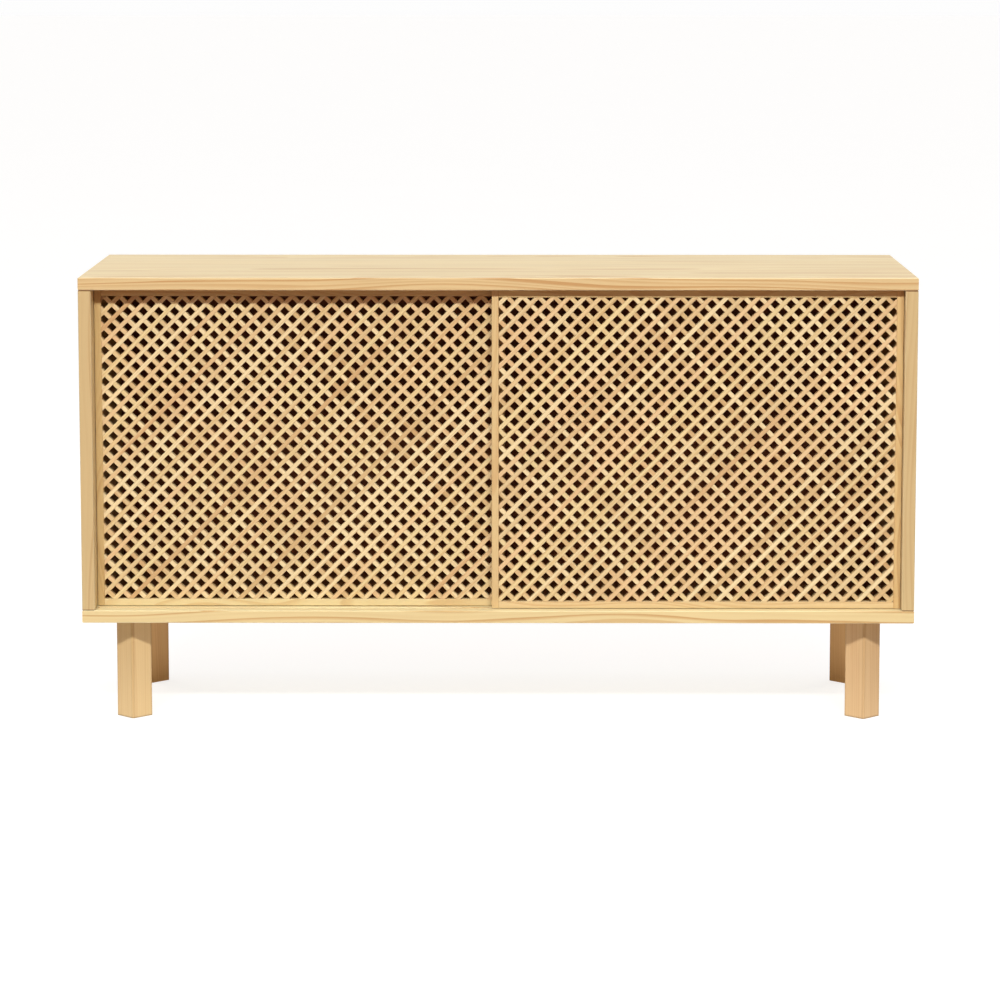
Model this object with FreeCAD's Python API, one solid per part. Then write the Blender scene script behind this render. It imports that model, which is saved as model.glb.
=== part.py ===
import FreeCAD, Part
import math
import os

# Sideboard on four legs, with two sliding lattice doors. All sizes are in millimetres.
# The origin is on the floor, below the middle of the case. +X is to the right of someone
# facing the doors, the doors face -Y, and +Z is up.

# Overall size
width = 1200.0
depth = 400.0
height = 650.0

# Boards of the case
board = 18.0                    # thickness of the glued pine boards
edge_ease = 1.0                 # small chamfer along the edges of the boards
back_thickness = 4.0            # plywood back
rebate_width = 9.0              # how far the back reaches over each board's edge
rebate_depth = 6.0              # how deep the back lies in from the rear edges
back_play = 0.5                 # gap round the back in its rebate
divider_clearance = 6.0         # from the rear door to the divider's front edge

# Legs, set cornerwise
leg_side = 37.5
leg_height = 150.0
leg_inset_x = 67.0              # leg axis from the end of the case
leg_inset_y = 71.0              # leg axis from the front and rear of the case
leg_ease = 2.2                  # chamfer of the corners

# Sliding doors
door_thickness = 16.0
door_setback = 18.0             # front door's face behind the case's front edge
door_spacing = 4.0              # air between the two doors
door_overlap = 18.0             # how far the closed doors overlap at the middle
door_end_play = 0.5             # closed door to the side board
door_bottom_gap = 0.7
door_top_gap = 1.8
frame_face = 10.0               # width of stiles and rails, seen from the front
frame_ease = 0.6                # chamfer of stiles and rails
frame_groove = 4.5              # depth of the groove that holds the lattice

# Lattice of the doors
slat_width = 6.0
slat_depth = 6.0                # each of the two layers
slat_gap = 10.0                 # open side of a hole
slat_lap = 4.0                  # how far the rear layer reaches into the frame's groove
lattice_setback = 0.5           # front layer behind the face of the frame
shortest_slat = 8.0             # shorter scraps at the corners are left out
slat_play = 0.1                 # rear layer to each wall of the groove
left_hole = (4.1, 0.3)          # centre of one hole, from the lower left corner of the opening
right_hole = (11.5, 1.5)

# Door tracks, and the nylon runners that slide in them
track_width = 8.0
track_depth = 6.0
track_stop = 2.0                # end of a track to the side board
runner_length = 40.0
runner_inset = 60.0             # middle of a runner from the end of its door
runner_pocket = 3.0             # how deep a runner is let into its rail
runner_play = 0.3               # to each wall of the track
bottom_runner_float = 0.2       # to the bottom of the track
top_runner_float = 1.5          # to the bottom of the upper track

# Fasteners
fit = 0.1                       # clearance round each fastener in its hole
end_room = 0.5                  # spare depth at the end of a blind hole
fastener_inset = 60.0           # fasteners from the front and rear edge of an upright
cam_radius = 7.5
cam_depth = 12.5
cam_drop = 34.0                 # cam's centre below the top board
cam_bolt_radius = 3.0
cam_bolt_in_top = 10.0
dowel_radius = 4.0
dowel_length = 30.0
dowel_in_top = 10.0
screw_radius = 3.5              # screws up through the bottom board
screw_length = 50.0
insert_radius = 6.0             # threaded sleeves for the legs
insert_length = 13.0
bolt_radius = 4.0               # double-ended bolts of the legs
bolt_in_leg = 38.0
bolt_in_board = 12.0

# Places worked out from the sizes above
half_width = width / 2
front = -depth / 2
rear = depth / 2
case_bottom = leg_height
floor = case_bottom + board                     # upper face of the bottom board
ceiling = height - board                        # lower face of the top board
inner = half_width - board                      # inner face of each side board
back_face = rear - rebate_depth                 # front face of the back
door_width = inner - door_end_play + door_overlap / 2
door_bottom = floor + door_bottom_gap
door_top = ceiling - door_top_gap
front_door_y = front + door_setback
rear_door_y = front_door_y + door_thickness + door_spacing
divider_front = rear_door_y + door_thickness + divider_clearance
lattice_middle = lattice_setback + slat_depth   # where the two layers of slats meet
slat_pitch = slat_width + slat_gap
leg_x = half_width - leg_inset_x
leg_y = depth / 2 - leg_inset_y

X_AXIS = FreeCAD.Vector(1, 0, 0)
Y_AXIS = FreeCAD.Vector(0, 1, 0)
Z_AXIS = FreeCAD.Vector(0, 0, 1)

# Each upright board: middle in X, front edge and rear edge
uprights = {
    "left_side": (-inner - board / 2, front, rear),
    "right_side": (inner + board / 2, front, rear),
    "centre_divider": (0.0, divider_front, back_face),
}


def block(x0, x1, y0, y1, z0, z1):
    """A box between two corners."""
    return Part.makeBox(x1 - x0, y1 - y0, z1 - z0, FreeCAD.Vector(x0, y0, z0))


def eased(box, size, axes):
    """A box with a small chamfer on the edges that run along the given axes."""
    edges = []
    for edge in box.Edges:
        line = edge.lastVertex().Point - edge.firstVertex().Point
        if any(line.cross(axis).Length < 1e-6 for axis in axes):
            edges.append(edge)
    return box.makeChamfer(size, edges)


def rod(radius, start, axis, length):
    """A round bar or hole from a starting point along an axis."""
    return Part.makeCylinder(radius, length, FreeCAD.Vector(*start), axis)


def round_ended(x0, x1, y, wide, z0, z1):
    """A straight bar along X with half-round ends, as a cutter leaves a track."""
    r = wide / 2
    corners = [FreeCAD.Vector(a, y + b, z0) for a, b in ((x0 + r, -r), (x1 - r, -r), (x1 - r, r), (x0 + r, r))]
    outline = Part.Wire([
        Part.makeLine(corners[0], corners[1]),
        Part.Arc(corners[1], FreeCAD.Vector(x1, y, z0), corners[2]).toShape(),
        Part.makeLine(corners[2], corners[3]),
        Part.Arc(corners[3], FreeCAD.Vector(x0, y, z0), corners[0]).toShape(),
    ])
    return Part.Face(outline).extrude(FreeCAD.Vector(0, 0, z1 - z0))


def save(name, *solids):
    """Writes one node, of one solid or of several separate ones."""
    shape = solids[0] if len(solids) == 1 else Part.makeCompound(solids)
    shape.exportStep("parts/" + name + ".step")


def fastener_places(name):
    """The two places across the end of an upright where it is fastened."""
    x, y0, y1 = uprights[name]
    return [(x, y0 + fastener_inset), (x, y1 - fastener_inset)]


def cam_places():
    """Each cam bolt, with the direction from it to the cam's open face, inside the case."""
    places = []
    for name, inward in (("left_side", 1), ("right_side", -1)):
        places += [(x, y, inward) for x, y in fastener_places(name)]
    return places


def cam_bolt(x, y, grow=0.0, spare=0.0):
    """The bolt from the top board down to the middle of the cam, or with room added its hole."""
    length = cam_drop + cam_bolt_in_top + spare
    return rod(cam_bolt_radius + grow, (x, y, ceiling - cam_drop), Z_AXIS, length)


def cam_drum(x, y, inward, radius, sunk):
    """A round drum let into the inner face of a side board."""
    start = (x + inward * board / 2, y, ceiling - cam_drop)
    return rod(radius, start, X_AXIS * -inward, sunk)


def cam_disc(x, y, inward):
    """The cam, a drum with a slot for the end of its bolt."""
    half = cam_bolt_radius + fit
    low = ceiling - cam_drop - fit
    slot = block(x - half, x + half, y - half, y + half, low, low + cam_drop)
    return cam_drum(x, y, inward, cam_radius - fit, cam_depth).cut(slot)


def dowel(x, y, grow=0.0, spare=0.0):
    """A dowel between the divider and the top board, or with room added its hole."""
    low = ceiling + dowel_in_top - dowel_length - spare
    return rod(dowel_radius + grow, (x, y, low), Z_AXIS, dowel_length + 2 * spare)


def bottom_screw(x, y, grow=0.0, spare=0.0):
    """A screw up through the bottom board into an upright, or with room added its hole."""
    return rod(screw_radius + grow, (x, y, case_bottom), Z_AXIS, screw_length + spare)


def leg_places():
    """Name and axis of each leg."""
    return [
        (row + side, sx * leg_x, sy * leg_y)
        for row, sy in (("front_", -1), ("rear_", 1))
        for side, sx in (("left_leg", -1), ("right_leg", 1))
    ]


def tracks(z0, z1):
    """The two tracks of the doors, between two heights."""
    reach = inner - track_stop
    return [
        round_ended(-reach, reach, door_y + door_thickness / 2, track_width, z0, z1)
        for door_y in (front_door_y, rear_door_y)
    ]


def fastener_holes():
    """Every hole that the fasteners of the case and legs need in its boards."""
    holes = []
    for x, y, inward in cam_places():
        holes.append(cam_bolt(x, y, fit, end_room))
        holes.append(cam_drum(x, y, inward, cam_radius, cam_depth + end_room))
    holes += [dowel(x, y, fit, end_room) for x, y in fastener_places("centre_divider")]
    for name in uprights:
        holes += [bottom_screw(x, y, fit, end_room) for x, y in fastener_places(name)]
    for _, x, y in leg_places():
        holes.append(rod(insert_radius + fit, (x, y, case_bottom), Z_AXIS, insert_length + end_room))
    return holes


def back_rebate():
    """The step round the rear of the case that the back lies in."""
    reach = inner + rebate_width
    return block(-reach, reach, back_face, rear, floor - rebate_width, ceiling + rebate_width)


def make_case():
    """The top, bottom, sides, divider and back."""
    boards = {
        "top_panel": block(-half_width, half_width, front, rear, ceiling, height),
        "bottom_panel": block(-half_width, half_width, front, rear, case_bottom, floor),
    }
    for name in boards:
        boards[name] = eased(boards[name], edge_ease, (X_AXIS, Y_AXIS))
    for name, (x, y0, y1) in uprights.items():
        plain = block(x - board / 2, x + board / 2, y0, y1, floor, ceiling)
        boards[name] = eased(plain, edge_ease, (X_AXIS, Y_AXIS, Z_AXIS))
    reach = inner + rebate_width - back_play
    rise = rebate_width - back_play
    back_rear = back_face + back_thickness
    boards["back_panel"] = block(-reach, reach, back_face, back_rear, floor - rise, ceiling + rise)

    holes = fastener_holes()
    lower_tracks = tracks(floor - track_depth, floor)
    upper_tracks = tracks(ceiling, ceiling + track_depth)
    for name, shape in boards.items():
        cutters = holes + lower_tracks + upper_tracks
        if name != "back_panel":
            cutters.append(back_rebate())
        near = [cutter for cutter in cutters if cutter.BoundBox.intersect(shape.BoundBox)]
        save(name, shape.cut(near))


def make_case_fasteners():
    """Cams and their bolts under the top of each side, dowels on the divider, screws from below."""
    save("cam_bolts", *[cam_bolt(x, y) for x, y, _ in cam_places()])
    save("cam_discs", *[cam_disc(*place) for place in cam_places()])
    save("divider_dowels", *[dowel(x, y) for x, y in fastener_places("centre_divider")])
    save("bottom_screws", *[bottom_screw(x, y) for name in uprights for x, y in fastener_places(name)])


def make_legs():
    """Four square legs set cornerwise, each on a bolt in a threaded sleeve of the bottom board."""
    bolts, sleeves = [], []
    for name, x, y in leg_places():
        half = leg_side / 2
        leg = eased(block(-half, half, -half, half, 0, leg_height), leg_ease, (Z_AXIS,))
        leg.rotate(FreeCAD.Vector(), Z_AXIS, 45)
        leg.translate(FreeCAD.Vector(x, y, 0))
        hole_depth = bolt_in_leg + end_room
        save(name, leg.cut(rod(bolt_radius + fit, (x, y, leg_height - hole_depth), Z_AXIS, hole_depth)))
        bolts.append(rod(bolt_radius, (x, y, leg_height - bolt_in_leg), Z_AXIS, bolt_in_leg + bolt_in_board))
        sleeve = rod(insert_radius, (x, y, case_bottom), Z_AXIS, insert_length)
        sleeves.append(sleeve.cut(rod(bolt_radius + fit, (x, y, case_bottom), Z_AXIS, insert_length)))
    save("leg_bolts", *bolts)
    save("leg_inserts", *sleeves)


def slat_layer(x0, x1, z0, z1, y, lean, hole):
    """Diagonal slats cut off at a rectangle. They rise to the right for lean 1 and fall for lean -1."""
    clip = block(x0, x1, y, y + slat_depth, z0, z1)
    along = FreeCAD.Vector(1, 0, lean).normalize()
    across = FreeCAD.Vector(1, 0, -lean).normalize()
    corners = [across.dot(FreeCAD.Vector(x, 0, z)) for x in (x0, x1) for z in (z0, z1)]
    first_line = across.dot(FreeCAD.Vector(hole[0], 0, hole[1])) + slat_pitch / 2
    low = math.ceil((min(corners) + shortest_slat / 2 - first_line) / slat_pitch)
    high = math.floor((max(corners) - shortest_slat / 2 - first_line) / slat_pitch)
    middle = along * along.dot(FreeCAD.Vector((x0 + x1) / 2, 0, (z0 + z1) / 2))
    half_run = along * (x1 - x0 + z1 - z0)
    half_wide = across * (slat_width / 2)
    slats = []
    for k in range(low, high + 1):
        centre = middle + across * (first_line + k * slat_pitch) + Y_AXIS * y
        ends = [centre - half_run, centre + half_run]
        outline = [ends[0] - half_wide, ends[1] - half_wide, ends[1] + half_wide, ends[0] + half_wide]
        strip = Part.Face(Part.makePolygon(outline + outline[:1])).extrude(Y_AXIS * slat_depth)
        slats.append(strip.common(clip).Solids[0])
    return slats


def runner(x, y, z0, z1, grow=0.0):
    """A nylon runner, or with grow the pocket that it fits in."""
    half = runner_length / 2 + grow
    half_wide = track_width / 2 - runner_play + grow
    return block(x - half, x + half, y - half_wide, y + half_wide, z0, z1)


def make_door(name, left, face, hole):
    """A frame of two stiles and two rails, grooved for the lattice, with runners above and below."""
    right = left + door_width
    rear_face = face + door_thickness
    open_left, open_right = left + frame_face, right - frame_face
    open_low, open_high = door_bottom + frame_face, door_top - frame_face
    groove_front = face + lattice_middle - slat_play
    groove_rear = face + lattice_middle + slat_depth + slat_play
    groove = block(
        open_left - frame_groove, open_right + frame_groove, groove_front, groove_rear,
        open_low - frame_groove, open_high + frame_groove,
    )
    middle_y = face + door_thickness / 2
    runner_xs = (left + runner_inset, right - runner_inset)
    seat_low, seat_high = door_bottom + runner_pocket, door_top - runner_pocket

    for side, x0, x1 in (("left", left, open_left), ("right", open_right, right)):
        stile = eased(block(x0, x1, face, rear_face, door_bottom, door_top), frame_ease, (Z_AXIS,))
        mortise = block(
            open_left - frame_groove, open_right + frame_groove, groove_front, groove_rear,
            door_bottom + frame_ease, door_top - frame_ease,
        )
        save(name + "_" + side + "_stile", stile.cut(mortise))

    tenon = frame_groove - slat_play
    for side, z0, z1 in (("top", open_high, door_top), ("bottom", door_bottom, open_low)):
        rail = eased(block(open_left, open_right, face, rear_face, z0, z1), frame_ease, (X_AXIS,))
        tongue = block(
            open_left - tenon, open_right + tenon, groove_front + slat_play, groove_rear - slat_play,
            z0 + frame_ease, z1 - frame_ease,
        )
        pockets = [runner(x, middle_y, door_bottom, seat_low, fit) for x in runner_xs]
        pockets += [runner(x, middle_y, seat_high, door_top, fit) for x in runner_xs]
        save(name + "_" + side + "_rail", rail.fuse(tongue).cut(pockets + [groove]).removeSplitter())

    corner_hole = (open_left + hole[0], open_low + hole[1])
    front_layer = slat_layer(
        open_left, open_right, open_low, open_high, face + lattice_setback, 1, corner_hole)
    rear_layer = slat_layer(
        open_left - slat_lap, open_right + slat_lap, open_low - slat_lap, open_high + slat_lap,
        face + lattice_middle, -1, corner_hole)
    save(name + "_front_slats", *front_layer)
    save(name + "_rear_slats", *rear_layer)

    low_end = floor - track_depth + bottom_runner_float
    high_end = ceiling + track_depth - top_runner_float
    save(name + "_bottom_runners", *[runner(x, middle_y, low_end, seat_low) for x in runner_xs])
    save(name + "_top_runners", *[runner(x, middle_y, seat_high, high_end) for x in runner_xs])


os.makedirs("parts", exist_ok=True)
make_case()
make_case_fasteners()
make_legs()
make_door("left_door", -inner + door_end_play, rear_door_y, left_hole)
make_door("right_door", inner - door_end_play - door_width, front_door_y, right_hole)
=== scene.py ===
import bpy
import bmesh
import math
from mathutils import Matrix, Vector


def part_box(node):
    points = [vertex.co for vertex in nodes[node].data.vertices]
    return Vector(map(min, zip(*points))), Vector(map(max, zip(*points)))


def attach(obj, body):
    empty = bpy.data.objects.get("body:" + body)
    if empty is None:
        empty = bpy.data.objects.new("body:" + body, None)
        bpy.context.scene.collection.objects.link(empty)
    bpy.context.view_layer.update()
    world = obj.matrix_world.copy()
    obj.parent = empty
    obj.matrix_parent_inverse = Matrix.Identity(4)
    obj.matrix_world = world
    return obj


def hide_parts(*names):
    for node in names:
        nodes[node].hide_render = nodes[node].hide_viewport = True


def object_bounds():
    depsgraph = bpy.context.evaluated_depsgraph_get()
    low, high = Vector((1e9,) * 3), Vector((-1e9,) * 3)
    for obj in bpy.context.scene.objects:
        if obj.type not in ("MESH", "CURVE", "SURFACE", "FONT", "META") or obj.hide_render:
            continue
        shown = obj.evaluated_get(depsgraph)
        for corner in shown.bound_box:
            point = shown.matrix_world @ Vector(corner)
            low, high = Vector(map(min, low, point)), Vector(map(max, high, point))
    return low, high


# Sideboard with sliding lattice doors. Sizes are in metres, in the frame of the CAD model.

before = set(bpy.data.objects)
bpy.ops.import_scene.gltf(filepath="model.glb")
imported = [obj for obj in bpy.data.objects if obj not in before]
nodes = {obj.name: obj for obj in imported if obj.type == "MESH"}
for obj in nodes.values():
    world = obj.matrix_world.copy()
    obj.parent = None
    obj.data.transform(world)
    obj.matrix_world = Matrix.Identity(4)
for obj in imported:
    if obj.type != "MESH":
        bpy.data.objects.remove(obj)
cad_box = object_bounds()
collection = bpy.context.scene.collection

X = Vector((1, 0, 0))
Y = Vector((0, 1, 0))
Z = Vector((0, 0, 1))
RISING = Vector((1, 0, 1)).normalized()     # along the slats that rise to the right
FALLING = Vector((1, 0, -1)).normalized()   # along the slats that fall to the right
DOORS = ("left_door", "right_door")
UPRIGHTS = ("left_side", "right_side", "centre_divider")

# Eased edges
BOARD_EASE = 0.0006
LEG_EASE = 0.0012
FRAME_EASE = 0.0003
SLAT_EASE = 0.0004
SHARP_TURN = math.radians(25)               # edges that turn by more than this are eased
WELD_REACH = 0.00001                        # points of a CAD mesh this near each other are joined

# Lattice: slats and holes, and where the first hole lies from the lower left corner of each opening
SLAT_WIDTH = 0.006
SLAT_GAP = 0.010
SLAT_PITCH = SLAT_WIDTH + SLAT_GAP
FIRST_HOLE = {"left_door": (0.0041, 0.0003), "right_door": (0.0115, 0.0015)}
LAP_PLAY = 0.00005                          # gap at each end of a halved piece
GROOVE_REACH = 0.0039                       # how far the rear layer goes into the frame

# Small fasteners
PIN_RADIUS = 0.0026                         # heads of the pins round the back
PIN_HEIGHT = 0.0009
PIN_RINGS = 4                               # rings of points from the top of a dome to its foot
PIN_SIDES = 16                              # points in each ring
PIN_INSET = 0.0048                          # from the edge of the back
PIN_SPACING = 0.11
FASTENER_INSET = 0.060                      # screws and cams from the edges of an upright
HEAD_SIDES = 32                             # points round a screw or a cam
RIM_EASE = 0.08                             # eased rim of a screw or a cam, as a share of the radius
SCREW_RADIUS = 0.0034
SCREW_LENGTH = 0.050
SOCKET_SIZE = 0.0022                        # half the width over the corners of a socket
SOCKET_SIDES = 6
CAM_DROP = 0.034                            # centre of a cam below the top board
CAM_RADIUS = 0.0073
CAM_LENGTH = 0.0058
CROSS_ARM = 0.0045                          # cross slot of a cam
CROSS_HALF_WIDTH = 0.0009
RECESS = 0.0016                             # depth of sockets and cross slots


def linear(red, green, blue):
    """A colour on the usual 0 to 255 scale, as a shader takes it."""
    levels = [level / 255 for level in (red, green, blue)]
    return (*[v / 12.92 if v <= 0.04045 else ((v + 0.055) / 1.055) ** 2.4 for v in levels], 1.0)


class Graph:
    """A node tree, with short ways to add nodes to it."""

    def __init__(self, tree):
        self.tree = tree

    def put(self, socket, value):
        """Links another node's output to a socket, or sets a plain value."""
        if isinstance(value, bpy.types.NodeSocket):
            self.tree.links.new(value, socket)
        else:
            socket.default_value = value

    def node(self, kind, inputs=(), **settings):
        """A node with its settings, and with its inputs by name or number."""
        made = self.tree.nodes.new("ShaderNode" + kind)
        for key, value in settings.items():
            setattr(made, key, value)
        for socket, value in dict(inputs).items():
            self.put(made.inputs[socket], value)
        return made

    def math(self, operation, *values):
        return self.node("Math", enumerate(values), operation=operation).outputs[0]

    def total(self, *values):
        result = values[0]
        for value in values[1:]:
            result = self.math("ADD", result, value)
        return result

    def dot(self, vector, axis):
        return self.node("VectorMath", {0: vector, 1: axis}, operation="DOT_PRODUCT").outputs["Value"]

    def vector(self, x, y, z):
        return self.node("CombineXYZ", enumerate((x, y, z))).outputs[0]

    def noise(self, vector, scale, detail=2.0):
        """A smooth random value and a smooth random colour for each place."""
        return self.node("TexNoise", {"Vector": vector, "Scale": scale, "Detail": detail}).outputs

    def chance(self, number):
        """A random value and a random colour for each number."""
        return self.node("TexWhiteNoise", {"W": number}, noise_dimensions="1D").outputs

    def channels(self, colour):
        return self.node("SeparateColor", {"Color": colour}).outputs

    def spread(self, value, low, high):
        """Takes a value from the range 0 to 1 to another range."""
        return self.math("MULTIPLY_ADD", value, high - low, low)

    def step(self, value, low, high):
        """Goes smoothly from 0 at the first of two values to 1 at the second."""
        inputs = {"Value": value, "From Min": low, "From Max": high}
        return self.node("MapRange", inputs, interpolation_type="SMOOTHSTEP").outputs[0]

    def mix(self, factor, a, b, blend="MIX"):
        """Mixes two colours, which are inputs 6 and 7 of the node and its output 2."""
        inputs = {0: factor, 6: a, 7: b}
        return self.node("Mix", inputs, data_type="RGBA", blend_type=blend).outputs[2]

    def darken(self, colour, by, factor):
        """Multiplies one colour by another, as far as the factor says."""
        return self.mix(factor, colour, by, "MULTIPLY")

    def ramp(self, factor, stops):
        """A colour that changes through the stops, each a position and a colour."""
        made = self.node("ValToRGB", {"Fac": factor})
        elements = made.color_ramp.elements
        elements.remove(elements[0])
        while len(elements) < len(stops):
            elements.new(0.5)
        for element, (position, colour) in zip(elements, stops):
            element.position = position
            element.color = colour
        return made.outputs["Color"]


class Surface(Graph):
    """A new material."""

    def __init__(self, name):
        self.material = bpy.data.materials.new(name)
        self.material.use_nodes = True
        super().__init__(self.material.node_tree)
        self.shader = self.tree.nodes["Principled BSDF"]

    def finish(self, colour, roughness, height, depth):
        """Feeds the shader, with a bump as deep as given."""
        bump = self.node("Bump", {"Height": height, "Distance": depth})
        self.put(self.shader.inputs["Base Color"], colour)
        self.put(self.shader.inputs["Roughness"], roughness)
        self.put(self.shader.inputs["Normal"], bump.outputs[0])
        return self.material


# Tones of the wood, what darkens them, and the painted shade on leg corners, upright ends and the inside

TOP_TONES = [linear(228, 209, 165), linear(230, 209, 162), linear(226, 204, 158)]
BOTTOM_TONES = [linear(232, 216, 168), linear(233, 215, 164), linear(229, 211, 161)]
SIDE_TONES = [linear(217, 198, 153), linear(211, 187, 141)]
SLAT_TONES = [
    linear(220, 195, 142), linear(211, 182, 130), linear(219, 185, 137), linear(198, 165, 115),
    linear(225, 201, 153),
]
PLYWOOD_TONES = [linear(206, 160, 122)]
LEG_WOOD = {                                # each leg's tone, and the seed of its pattern
    "front_left_leg": (linear(200, 168, 119), 140.0),
    "front_right_leg": (linear(196, 160, 115), 141.0),
    "rear_left_leg": (linear(208, 165, 111), 142.0),
    "rear_right_leg": (linear(208, 164, 110), 143.0),
}
FRAME_WOOD = {                              # the same for each stile and rail of the doors
    # its own tone, made darker partly as painted shade from the left side board
    "left_door_left_stile": (linear(201, 169, 113), 170.0),
    "left_door_right_stile": (linear(208, 172, 120), 180.0),
    "left_door_top_rail": (linear(207, 180, 126), 190.0),
    "left_door_bottom_rail": (linear(215, 192, 141), 200.0),
    "right_door_left_stile": (linear(207, 176, 124), 220.0),
    "right_door_right_stile": (linear(208, 175, 120), 230.0),
    "right_door_top_rail": (linear(207, 180, 126), 240.0),
    "right_door_bottom_rail": (linear(210, 182, 133), 250.0),
}
UPRIGHT_SEEDS = {"left_side": 51.0, "right_side": 71.0, "centre_divider": 91.0}
SLAT_SEEDS = {"left_door": (300.0, 500.0), "right_door": (700.0, 900.0)}    # rising and falling slats

LATEWOOD = linear(214, 172, 130)            # a dark ring multiplies the tone by this
END_GRAIN = linear(222, 192, 160)           # and a sawn end by this
GLUE_LINE = linear(236, 224, 210)           # and a joint between staves by this
JOINT_HALF = 0.0005
CORNER_SHADE = linear(236, 232, 226)              # and a rounded corner of a leg, as painted shade, by this
CORNER_SHADE_WIDTH = 0.002
SEAM_SHADE = linear(156, 136, 114)                # and the eased end of an upright, as a painted shade line along its seam, by this
SEAM_SHADE_WIDTH = 0.0018
INSIDE_SHADE = linear(174, 124, 96)                # and the inside of the case, back and floor, by this, as painted shade
INSIDE_SHADE_GAP = 0.001                           # between the rear door and the painted shade on the floor
EVERYWHERE = -1.0                           # painted shade that begins here covers the whole face

# Pattern of the wood

STAVE_STEP = 3.7                            # between the places where two staves take their noise
RING_SHIFT = 1.2                            # most that a ring lies off its even place, in rings
RING_SHIFT_SCALE = 2.0                      # how fast that changes along the wood
RING_SHIFT_ACROSS = 60.0                    # and how many times faster across the rings
LATE_RISE = (0.25, 0.9)                     # shares of a ring from which and up to which it darkens
LATE_FALL = (1.0, 0.92)                     # and the shares at which it is pale again and still dark
FAINTEST_RING = 0.1                         # beside the boldest
FIBRE_SCALE = 900.0
FIBRE_DETAIL = 3.0
FIBRE_ALONG = 0.02                          # how much slower the fibres change along the wood
FIBRE_SHADE = 0.05                          # how much they lighten or darken it
CLOUD_SCALE = 14.0                          # and the same values for soft clouds
CLOUD_ALONG = 0.3
CLOUD_SHADE = 0.07
FACING = (0.5, 0.7)                         # part of a normal along an axis, for a face that looks along it
WOOD_ROUGHNESS = (0.34, 0.48)
SAWN_ROUGHNESS = 0.12                       # more on a sawn end
RING_RELIEF = 0.4                           # height of a dark ring beside that of the fibres
WOOD_RELIEF = 0.00008

BOARD_LOOK = {"stave": 0.058, "start": -0.2, "ring": 0.0046, "wander": 0.024, "waves": 1.5, "face": 0.8}
BACK_LOOK = {"ring": 0.012, "heart": 0.2, "wander": 0.05, "contrast": 0.4}
FRAME_LOOK = {"ring": 0.003, "contrast": 0.4}
SLAT_LOOK = {
    "stave": SLAT_PITCH, "start": 0.0, "ring": 0.0024, "heart": 0.03, "wander": 0.006, "contrast": 0.4,
}


def growth_rings(g, run, side, below, ring, own):
    """How dark the late wood is at a place, which lies to the side of a heart line and below it. The rings
    are not quite even, and some are fainter."""
    squares = g.math("ADD", g.math("MULTIPLY", side, side), g.math("MULTIPLY", below, below))
    radius = g.math("SQRT", squares)
    shift = g.noise(g.vector(g.math("MULTIPLY", radius, RING_SHIFT_ACROSS), run, own), RING_SHIFT_SCALE)[0]
    rings = g.math("ADD", g.math("DIVIDE", radius, ring), g.spread(shift, -RING_SHIFT, RING_SHIFT))
    part = g.math("FRACT", rings)
    late = g.math("MULTIPLY", g.step(part, *LATE_RISE), g.step(part, *LATE_FALL))
    strength = g.chance(g.math("ADD", g.math("FLOOR", rings), own))[0]
    return g.math("MULTIPLY", late, g.spread(strength, FAINTEST_RING, 1.0))


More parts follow.
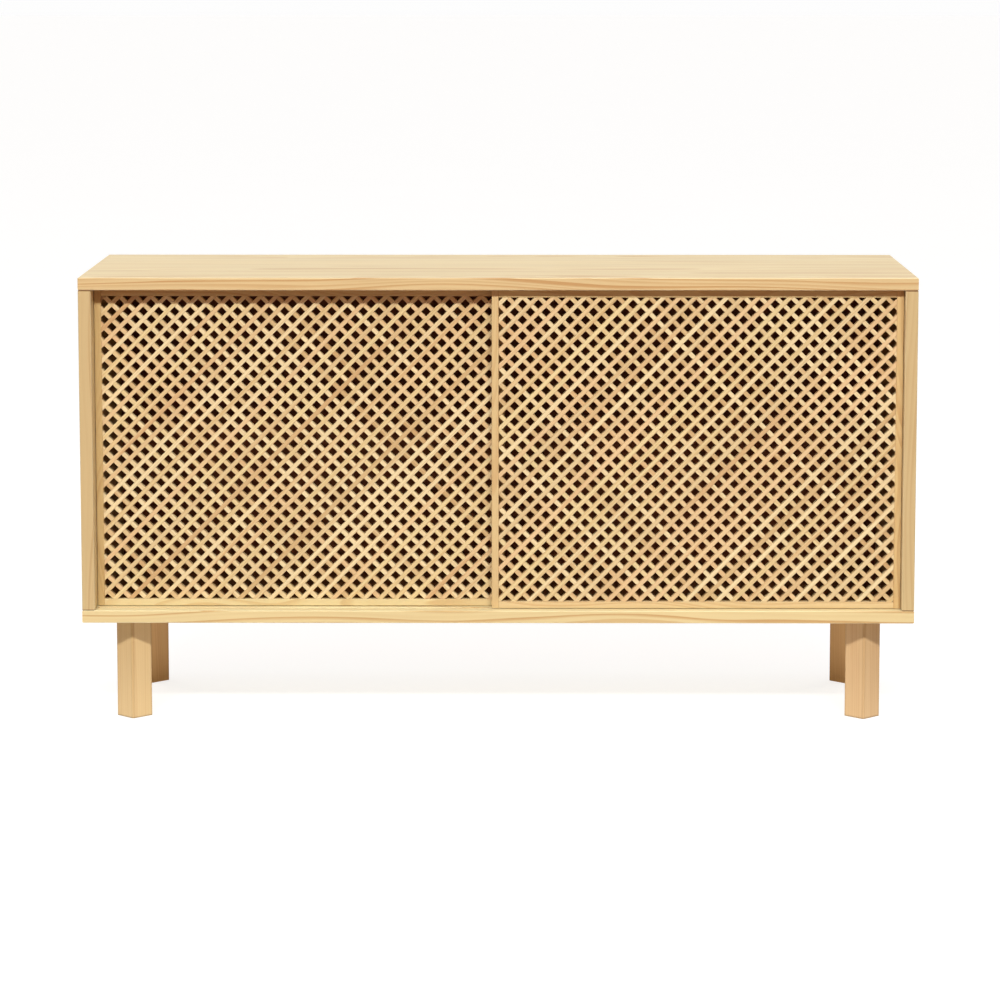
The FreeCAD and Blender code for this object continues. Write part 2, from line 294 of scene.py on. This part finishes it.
def pine(name, origin, along, across, tones, stave=1.0, start=-0.5, ring=0.0036, heart=0.05, wander=0.03,
         waves=2.4, contrast=0.3, face=1.0, corner=None, ends=None, inside_shade=None, seed=0.0):
    """Sanded pine glued from staves. Each stave has rings round a heart line of its own, and its own tone.
    The rings show less on the broad faces of a board, by a share. A leg set cornerwise gets painted shade at
    its corners, and an upright gets a painted shade line along the seams at its ends, which are as far from
    the middle as given. Painted shade also covers the face to one side, from some place across the board."""
    g = Surface(name)
    place = g.node("TexCoord").outputs["Object"]
    place = g.node("VectorMath", {0: place, 1: origin}, operation="SUBTRACT").outputs[0]
    through = along.cross(across)
    run, wide, deep = (g.dot(place, axis) for axis in (along, across, through))
    normal = g.node("NewGeometry").outputs["Normal"]
    sawn = g.step(g.math("ABSOLUTE", g.dot(normal, along)), *FACING)

    # Staves
    count = g.math("DIVIDE", g.math("SUBTRACT", wide, start), stave)
    number = g.math("FLOOR", count)
    choice, draw = g.chance(g.math("ADD", number, seed))
    draw = g.channels(draw)
    to_middle = g.math("MULTIPLY_ADD", number, -stave, -start - stave / 2)
    joint = g.step(g.math("PINGPONG", count, 0.5), JOINT_HALF / stave, 0.0)

    # Rings round the heart line, which wanders along the stave
    own = g.math("MULTIPLY_ADD", number, STAVE_STEP, seed)
    bends = g.channels(g.noise(g.vector(run, own, seed), waves, 1.0)[1])
    drift, sway = (g.spread(bend, -wander, wander) for bend in bends[:2])
    side = g.total(wide, to_middle, g.spread(draw[0], -heart / 2, heart / 2), drift)
    below = g.total(deep, g.spread(draw[1], heart / 2, heart), sway)
    late = growth_rings(g, run, side, below, ring, own)
    bold = g.spread(g.math("ABSOLUTE", g.dot(normal, across)), contrast * face, contrast)

    # Colour
    colour = g.ramp(choice, [(i / len(tones), tone) for i, tone in enumerate(tones)])
    colour = g.darken(colour, LATEWOOD, g.math("MULTIPLY", late, bold))
    colour = g.darken(colour, GLUE_LINE, joint)
    colour = g.darken(colour, END_GRAIN, sawn)
    # painted shade on the rounded corners of a leg, where the front light would make them brighter
    if corner:
        reach = g.math("MAXIMUM", g.math("ABSOLUTE", wide), g.math("ABSOLUTE", deep))
        colour = g.darken(colour, CORNER_SHADE, g.step(reach, corner - CORNER_SHADE_WIDTH, corner))
    # painted shade: a dark line along the seam at each end of an upright
    if ends:
        seam_shade = g.step(g.math("ABSOLUTE", run), ends - SEAM_SHADE_WIDTH, ends - SEAM_SHADE_WIDTH / 2)
        colour = g.darken(colour, SEAM_SHADE, seam_shade)
    # painted shade over the inside of the case, on faces that look one way
    if inside_shade:
        toward, begin = inside_shade
        covered = g.math("GREATER_THAN", wide, begin)
        shaded_inside = g.math("MULTIPLY", g.step(g.dot(normal, toward), *FACING), covered)
        colour = g.darken(colour, INSIDE_SHADE, shaded_inside)

    # Fine fibres and soft clouds
    fibre = g.noise(g.vector(g.math("MULTIPLY", run, FIBRE_ALONG), wide, deep), FIBRE_SCALE, FIBRE_DETAIL)[0]
    cloud = g.noise(g.vector(g.math("MULTIPLY", run, CLOUD_ALONG), wide, deep), CLOUD_SCALE)[0]
    clouded = g.spread(cloud, 1 - CLOUD_SHADE, 1 + CLOUD_SHADE)
    shade = g.math("ADD", g.spread(fibre, -FIBRE_SHADE, FIBRE_SHADE), clouded)
    colour = g.darken(colour, g.vector(shade, shade, shade), 1.0)
    roughness = g.math("ADD", g.spread(fibre, *WOOD_ROUGHNESS), g.math("MULTIPLY", sawn, SAWN_ROUGHNESS))
    height = g.math("ADD", fibre, g.math("MULTIPLY", late, RING_RELIEF))
    return g.finish(colour, roughness, height, WOOD_RELIEF)


# Metal, nylon and dowels

MOTTLE_DETAIL = 3.0
MOTTLE_ROUGHNESS = 0.08                     # how much rougher or smoother a mottled finish is in places
MOTTLE_RELIEF = 0.00005


def mottled(name, colour, other, scale, roughness, metallic=0.0):
    """A finish with a slight mottle, for the small hidden pieces."""
    g = Surface(name)
    cloud = g.noise(g.node("TexCoord").outputs["Object"], scale, MOTTLE_DETAIL)[0]
    g.shader.inputs["Metallic"].default_value = metallic
    sheen = g.spread(cloud, roughness - MOTTLE_ROUGHNESS, roughness + MOTTLE_ROUGHNESS)
    return g.finish(g.mix(cloud, colour, other), sheen, cloud, MOTTLE_RELIEF)


steel = mottled("zinc_steel", linear(176, 178, 180), linear(150, 152, 156), scale=900.0, roughness=0.35,
                metallic=1.0)
nylon = mottled("nylon", linear(232, 230, 222), linear(218, 216, 206), scale=300.0, roughness=0.45)
beech = mottled("beech_dowel", linear(214, 178, 136), linear(196, 156, 112), scale=400.0, roughness=0.6)


# Ways to dress the CAD nodes and to add pieces

def centre(node):
    """Middle of a CAD node's box."""
    low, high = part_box(node)
    return (Vector(low) + Vector(high)) / 2


def wear(node, material):
    """Gives every material slot of a CAD node the material."""
    for slot in nodes[node].material_slots:
        slot.material = material


def soften(node, width, segments=2):
    """Rounds the edges of a CAD node a little."""
    weld = nodes[node].modifiers.new("weld", "WELD")
    weld.merge_threshold = WELD_REACH
    bevel = nodes[node].modifiers.new("bevel", "BEVEL")
    bevel.width = width
    bevel.segments = segments
    bevel.limit_method = "ANGLE"
    bevel.angle_limit = SHARP_TURN
    nodes[node].modifiers.new("normals", "WEIGHTED_NORMAL")


def add_piece(name, bm, body, material):
    """Makes a new piece from a finished mesh."""
    bmesh.ops.recalc_face_normals(bm, faces=bm.faces[:])
    mesh = bpy.data.meshes.new(name)
    bm.to_mesh(mesh)
    bm.free()
    mesh.materials.append(material)
    piece = bpy.data.objects.new(name, mesh)
    collection.objects.link(piece)
    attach(piece, body)
    return piece


# Case and legs

def dress_case():
    """Top and bottom, with staves from side to side, uprights with standing staves, and the thin back."""
    # the painted shade on the floor inside begins just behind the rear door
    inside_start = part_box("left_door_left_stile")[1][1] + INSIDE_SHADE_GAP - centre("bottom_panel").y
    for node, tones, contrast, inside_shade, seed in (
        ("top_panel", TOP_TONES, 0.7, None, 7.0), ("bottom_panel", BOTTOM_TONES, 0.8, (Z, inside_start), 4.0),
    ):
        wear(node, pine("pine_" + node, centre(node), X, Y, tones, contrast=contrast, inside_shade=inside_shade, seed=seed,
                        **BOARD_LOOK))
        soften(node, BOARD_EASE)
    for node in UPRIGHTS:
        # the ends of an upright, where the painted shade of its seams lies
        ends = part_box(node)[1][2] - centre(node).z
        wear(node, pine("pine_" + node, centre(node), Z, Y, SIDE_TONES, contrast=0.35, ends=ends,
                        seed=UPRIGHT_SEEDS[node], **BOARD_LOOK))
        soften(node, BOARD_EASE)
    # painted shade over the whole inner face of the back
    wear("back_panel", pine("plywood_back", centre("back_panel"), X, Z, PLYWOOD_TONES, inside_shade=(-Y, EVERYWHERE),
                            seed=5.0, **BACK_LOOK))


def dress_legs():
    for node, (tone, seed) in LEG_WOOD.items():
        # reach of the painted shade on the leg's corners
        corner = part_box(node)[1][0] - centre(node).x
        wear(node, pine("pine_" + node, centre(node), Z, X, [tone], corner=corner, seed=seed))
        soften(node, LEG_EASE, segments=3)


dress_case()
dress_legs()


# Doors

def opening(door):
    """Low and high X and Z of the space inside a door's frame."""
    low_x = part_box(door + "_left_stile")[1][0]
    high_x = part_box(door + "_right_stile")[0][0]
    low_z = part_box(door + "_bottom_rail")[1][2]
    high_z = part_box(door + "_top_rail")[0][2]
    return low_x, high_x, low_z, high_z


def first_hole(door):
    """Centre of the lattice hole that the slats are counted from."""
    low_x, _, low_z, _ = opening(door)
    return Vector((low_x + FIRST_HOLE[door][0], 0, low_z + FIRST_HOLE[door][1]))


def add_prism(bm, middle, along, across, half_length, profile):
    """A bar along one axis, with a profile of places across it and in Y."""
    ends = []
    for end in (-half_length, half_length):
        ends.append([bm.verts.new(middle + along * end + across * a + Y * y) for a, y in profile])
    bm.faces.new(ends[0])
    bm.faces.new(ends[1][::-1])
    for k in range(len(profile)):
        n = (k + 1) % len(profile)
        bm.faces.new((ends[0][n], ends[0][k], ends[1][k], ends[1][n]))


def crop(bm, low_x, high_x, low_z, high_z):
    """Cuts everything off at a rectangle, and closes the cuts."""
    for point, normal in (((low_x, 0, 0), -X), ((high_x, 0, 0), X), ((0, 0, low_z), -Z), ((0, 0, high_z), Z)):
        geometry = bm.verts[:] + bm.edges[:] + bm.faces[:]
        bmesh.ops.bisect_plane(bm, geom=geometry, plane_co=point, plane_no=normal, clear_outer=True)
        bmesh.ops.holes_fill(bm, edges=[edge for edge in bm.edges if edge.is_boundary])


def add_laps(name, door, along, across, face, inner, reach, material):
    """The halves of the slats along one diagonal that lie between the CAD slats of the other, in one layer.
    The layer lies between its open face and its inner face in Y, and goes past the opening by a reach."""
    low_x, high_x, low_z, high_z = opening(door)
    sides = (low_x - reach, high_x + reach, low_z - reach, high_z + reach)
    hole = first_hole(door)
    corners = [Vector((x, 0, z)) - hole for x in sides[:2] for z in sides[2:]]
    spans = []
    for axis in (along, across):
        places = [corner.dot(axis) / SLAT_PITCH for corner in corners]
        spans.append(range(math.floor(min(places)), math.ceil(max(places)) + 1))

    half = SLAT_WIDTH / 2
    eased = face + math.copysign(SLAT_EASE, inner - face)
    profile = [
        (-half, inner), (-half, eased), (-half + SLAT_EASE, face),
        (half - SLAT_EASE, face), (half, eased), (half, inner),
    ]
    bm = bmesh.new()
    for i in spans[0]:
        for j in spans[1]:
            middle = hole + along * (i * SLAT_PITCH) + across * ((j + 0.5) * SLAT_PITCH)
            if sides[0] - half < middle.x < sides[1] + half and sides[2] - half < middle.z < sides[3] + half:
                add_prism(bm, middle, along, across, SLAT_GAP / 2 - LAP_PLAY, profile)
    crop(bm, *sides)
    add_piece(name, bm, door, material)


def dress_frames():
    """Stiles with their grain upright, and rails with theirs level."""
    for node, (tone, seed) in FRAME_WOOD.items():
        along, across = (Z, X) if node.endswith("stile") else (X, Z)
        wear(node, pine("pine_" + node, centre(node), along, across, [tone], seed=seed, **FRAME_LOOK))
        soften(node, FRAME_EASE)


def dress_lattice(door):
    """The CAD slats, which are whole in one layer, and the short halves that fill the other layer."""
    front, rear = door + "_front_slats", door + "_rear_slats"
    start = first_hole(door) + Y * centre(front).y
    wood = "pine_" + door
    rising_seed, falling_seed = SLAT_SEEDS[door]
    rising = pine(wood + "_rising", start, RISING, FALLING, SLAT_TONES, seed=rising_seed, **SLAT_LOOK)
    falling = pine(wood + "_falling", start, FALLING, RISING, SLAT_TONES, seed=falling_seed, **SLAT_LOOK)
    for node, material in ((front, rising), (rear, falling)):
        wear(node, material)
        soften(node, SLAT_EASE, segments=1)
    front_face, middle_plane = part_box(front)[0][1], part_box(front)[1][1]
    rear_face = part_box(rear)[1][1]
    add_laps(door + "_front_laps", door, FALLING, RISING, front_face, middle_plane, 0.0, falling)
    add_laps(door + "_rear_laps", door, RISING, FALLING, rear_face, middle_plane, GROOVE_REACH, rising)


dress_frames()
for door in DOORS:
    dress_lattice(door)


# Fasteners, dowels and runners

def ring_of_points(radius, count):
    """Places spread evenly round a circle."""
    angles = [math.tau * k / count for k in range(count)]
    return [(radius * math.cos(angle), radius * math.sin(angle)) for angle in angles]


def add_head(bm, place, inward, radius, length, outline):
    """A round bar with its end at a place and its body inward, with a recess of some outline in that end."""
    across = inward.orthogonal().normalized()
    up = inward.cross(across)

    def loop(points, depth):
        return [bm.verts.new(place + across * a + up * b + inward * depth) for a, b in points]

    def wall(first, second):
        for k in range(len(first)):
            n = (k + 1) % len(first)
            bm.faces.new((first[k], first[n], second[n], second[k]))

    rim_ease = radius * RIM_EASE
    rings = [
        loop(ring_of_points(ring_radius, HEAD_SIDES), depth)
        for ring_radius, depth in ((radius - rim_ease, 0.0), (radius, rim_ease), (radius, length))
    ]
    for first, second in zip(rings, rings[1:]):
        wall(first, second)
    bm.faces.new(rings[-1])
    recess = [loop(outline, 0.0), loop(outline, RECESS)]
    wall(*recess)
    bm.faces.new(recess[-1])
    border = [edge for edge in bm.edges if edge.is_boundary]
    bmesh.ops.triangle_fill(bm, edges=border, use_beauty=True)


def add_fasteners(name, node, heads, radius, length, outline):
    """Fasteners with a recess in the end, instead of the plain CAD ones, each with a place and direction."""
    bm = bmesh.new()
    for place, inward in heads:
        add_head(bm, place, inward, radius, length, outline)
    piece = add_piece(name, bm, "case", steel)
    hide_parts(node)


def cross_outline(arm, half_width):
    """The twelve corners of a cross."""
    points = []
    for turn in range(4):
        for a, b in ((arm, -half_width), (arm, half_width), (half_width, half_width)):
            for _ in range(turn):
                a, b = -b, a
            points.append((a, b))
    return points


def fastener_rows(node):
    """The two Y places where an upright is fastened."""
    low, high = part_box(node)
    return low[1] + FASTENER_INSET, high[1] - FASTENER_INSET


def add_screws():
    """Socket screws under the bottom board."""
    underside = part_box("bottom_panel")[0][2]
    screws = []
    for node in UPRIGHTS:
        screws += [(Vector((centre(node).x, y, underside)), Z) for y in fastener_rows(node)]
    socket = ring_of_points(SOCKET_SIZE, SOCKET_SIDES)
    add_fasteners("socket_screws", "bottom_screws", screws, SCREW_RADIUS, SCREW_LENGTH, socket)


def add_cams():
    """Cams in the inner faces of the side boards."""
    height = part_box("top_panel")[0][2] - CAM_DROP
    cams = []
    for node, inner_face, inward in (
        ("left_side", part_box("left_side")[1][0], -X), ("right_side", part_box("right_side")[0][0], X),
    ):
        cams += [(Vector((inner_face, y, height)), inward) for y in fastener_rows(node)]
    cross = cross_outline(CROSS_ARM, CROSS_HALF_WIDTH)
    add_fasteners("cams", "cam_discs", cams, CAM_RADIUS, CAM_LENGTH, cross)


def pin_row(low, high):
    """Places of the pins along one edge, from corner to corner."""
    length = high - low - 2 * PIN_INSET
    count = round(length / PIN_SPACING)
    return [low + PIN_INSET + length * k / count for k in range(count + 1)]


def add_pin(bm, place):
    """One domed head of a pin, which looks to the rear."""
    loops = []
    for k in range(1, PIN_RINGS + 1):
        turn = math.pi / 2 * k / PIN_RINGS
        points = ring_of_points(PIN_RADIUS * math.sin(turn), PIN_SIDES)
        height = PIN_HEIGHT * math.cos(turn)
        loops.append([bm.verts.new(place + X * a + Z * b + Y * height) for a, b in points])
    top = bm.verts.new(place + Y * PIN_HEIGHT)
    for k in range(PIN_SIDES):
        n = (k + 1) % PIN_SIDES
        bm.faces.new((top, loops[0][k], loops[0][n]))
        for first, second in zip(loops, loops[1:]):
            bm.faces.new((first[k], second[k], second[n], first[n]))
    bm.faces.new(loops[-1])


def add_back_pins():
    """Pins along all four edges of the back."""
    low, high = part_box("back_panel")
    row = pin_row(low[0], high[0])
    column = pin_row(low[2], high[2])
    places = [(x, z) for x in row for z in (column[0], column[-1])]
    places += [(x, z) for z in column[1:-1] for x in (row[0], row[-1])]
    bm = bmesh.new()
    for x, z in places:
        add_pin(bm, Vector((x, high[1], z)))
    add_piece("back_pins", bm, "case", steel)


for node in ("cam_bolts", "cam_discs", "bottom_screws", "leg_bolts", "leg_inserts"):
    wear(node, steel)
wear("divider_dowels", beech)
for door in DOORS:
    wear(door + "_bottom_runners", nylon)
    wear(door + "_top_runners", nylon)
add_screws()
add_cams()
add_back_pins()


# Floor, light and camera

STAGE_RADIUS = 60.0                         # the floor ends at a pale wall far off
STAGE_SIDES = 64
STAGE_MOTTLE = 1.5                          # scale of a faint mottle
STAGE_ROUGHNESS = 0.8
FLOOR_GLOW = 0.75                           # keeps the shadows on the floor pale
FLOOR_COLOURS = (linear(150, 150, 149), linear(146, 146, 145))
WALL_GLOW = 0.98
WALL_COLOURS = (linear(20, 20, 20), linear(16, 16, 16))
WHITE = (1, 1, 1, 1)

LIGHT_AIM = Vector((0, -0.2, 0.4))
KEY_PLACE = Vector((0, -7.90, 5.29))
KEY_SIZE = (7.5, 0.52)                      # a long soft strip of light
KEY_POWER = 1009.0
KEY_COLOUR = (0.93, 1.0, 1.06)
CARD_LIFT = 0.001                           # height of two cards that light the object from below
FRONT_CARD_AWAY = 0.80                      # from the front of the object to the middle of the card
FRONT_CARD_PLACE = (0, cad_box[0][1] - FRONT_CARD_AWAY, CARD_LIFT)
FRONT_CARD_SIZE = (2.6, 0.7)
FRONT_CARD_POWER = 5.1
FRONT_CARD_COLOUR = (1.0, 0.50, 0.43)
LOWER_CARD_PLACE = (0, -0.15, CARD_LIFT)
LOWER_CARD_SIZE = (1.8, 0.4)
LOWER_CARD_POWER = 3.2
LOWER_CARD_COLOUR = (0.94, 0.97, 1.0)
REAR_CARD_PLACE = Vector((2.0, 1.5, 0.9))   # cards at both sides behind, for the sides and the back
REAR_CARD_SIZE = (1.2, 1.2)
REAR_CARD_POWER = 15.0
REAR_CARD_COLOUR = (1.0, 0.88, 0.80)

SKY_OVERHEAD = 1.08                         # brightness straight up
SKY_FRONT = 0.345                           # brightness of a band above the horizon, in front and behind
SKY_REAR = 1.2
SKY_BELOW = 0.092
SKY_COLOUR = (1.0, 0.72, 0.55)              # warm, in front and below
BAND_FOOT = (-0.005, 0.005)                 # parts of Z in a direction, where the band begins and ends
BAND_TOP = (0.3, 0.1)
BAND_TURN = (-0.3, 0.3)                     # parts of Y between which it goes from the front to the rear

CAMERA_PLACE = (0.0281, -5.3411, 1.1105)
CAMERA_PITCH = math.radians(7.051)          # below the horizon
CAMERA_TURN = math.radians(0.28)            # to the left
CAMERA_FOCUS = 3.618                        # focal length over picture width
CAMERA_SENSOR = 36.0                        # millimetres
CAMERA_SHIFT = -0.1


def add_stage(name, bm, glow, colours):
    """A pale ground or wall, which throws no light on the object."""
    mesh = bpy.data.meshes.new(name)
    bm.to_mesh(mesh)
    bm.free()
    g = Surface(name)
    cloud = g.noise(g.node("TexCoord").outputs["Object"], STAGE_MOTTLE)[0]
    g.shader.inputs["Emission Color"].default_value = WHITE
    g.shader.inputs["Emission Strength"].default_value = glow
    mesh.materials.append(g.finish(g.mix(cloud, *colours), STAGE_ROUGHNESS, cloud, 0.0))
    made = bpy.data.objects.new(name, mesh)
    made.visible_diffuse = False
    made.visible_glossy = False
    collection.objects.link(made)
    return made


def add_ground():
    """The floor, and a wall all round it that lets the light through."""
    bm = bmesh.new()
    bmesh.ops.create_circle(bm, cap_ends=True, segments=STAGE_SIDES, radius=STAGE_RADIUS)
    add_stage("floor", bm, FLOOR_GLOW, FLOOR_COLOURS)
    bm = bmesh.new()
    bmesh.ops.create_uvsphere(bm, u_segments=STAGE_SIDES, v_segments=STAGE_SIDES // 2, radius=STAGE_RADIUS)
    wall = add_stage("wall", bm, WALL_GLOW, WALL_COLOURS)
    wall.visible_shadow = False


def add_sky():
    """White overhead and behind, warm in front and below."""
    world = bpy.data.worlds.new("studio")
    world.use_nodes = True
    g = Graph(world.node_tree)
    direction = g.node("TexCoord").outputs["Generated"]
    rise = g.dot(direction, Z)
    above = g.math("MAXIMUM", rise, 0.0)
    overhead = g.math("MULTIPLY", g.math("MULTIPLY", above, above), SKY_OVERHEAD)
    band = g.math("MULTIPLY", g.step(rise, *BAND_FOOT), g.step(rise, *BAND_TOP))
    rear = g.step(g.dot(direction, Y), *BAND_TURN)
    white = g.math("ADD", overhead, g.math("MULTIPLY", band, g.math("MULTIPLY", rear, SKY_REAR)))
    warm = g.math("MULTIPLY_ADD", band, g.spread(rear, SKY_FRONT, 0.0), SKY_BELOW)
    light = [g.math("MULTIPLY_ADD", warm, level, white) for level in SKY_COLOUR]
    g.put(world.node_tree.nodes["Background"].inputs["Color"], g.vector(*light))
    bpy.context.scene.world = world


def add_lamp(name, power, size, colour, place, toward):
    """A flat soft lamp that lights in one direction, itself unseen."""
    lamp = bpy.data.lights.new(name, "AREA")
    lamp.energy = power
    lamp.color = colour
    lamp.shape = "RECTANGLE"
    lamp.size, lamp.size_y = size
    made = bpy.data.objects.new(name, lamp)
    made.location = place
    made.rotation_euler = Vector(toward).to_track_quat("-Z", "Y").to_euler()
    made.visible_camera = False
    made.visible_glossy = False
    collection.objects.link(made)


def add_lamps():
    """A strip high in front, and cards below and behind that fill the shade."""
    add_lamp("key", KEY_POWER, KEY_SIZE, KEY_COLOUR, KEY_PLACE, LIGHT_AIM - KEY_PLACE)
    add_lamp("front_card", FRONT_CARD_POWER, FRONT_CARD_SIZE, FRONT_CARD_COLOUR, FRONT_CARD_PLACE, Z)
    add_lamp("lower_card", LOWER_CARD_POWER, LOWER_CARD_SIZE, LOWER_CARD_COLOUR, LOWER_CARD_PLACE, Z)
    for side in (-1, 1):
        place = REAR_CARD_PLACE * Vector((side, 1, 1))
        add_lamp("rear_card", REAR_CARD_POWER, REAR_CARD_SIZE, REAR_CARD_COLOUR, place, LIGHT_AIM - place)


def add_camera():
    lens = bpy.data.cameras.new("camera")
    lens.sensor_width = CAMERA_SENSOR
    lens.lens = CAMERA_FOCUS * CAMERA_SENSOR
    lens.shift_y = CAMERA_SHIFT
    camera = bpy.data.objects.new("camera", lens)
    camera.location = CAMERA_PLACE
    camera.rotation_euler = (math.pi / 2 - CAMERA_PITCH, 0, CAMERA_TURN)
    collection.objects.link(camera)
    bpy.context.scene.camera = camera


add_ground()
add_sky()
add_lamps()
add_camera()
bpy.context.scene.view_settings.view_transform = "Standard"
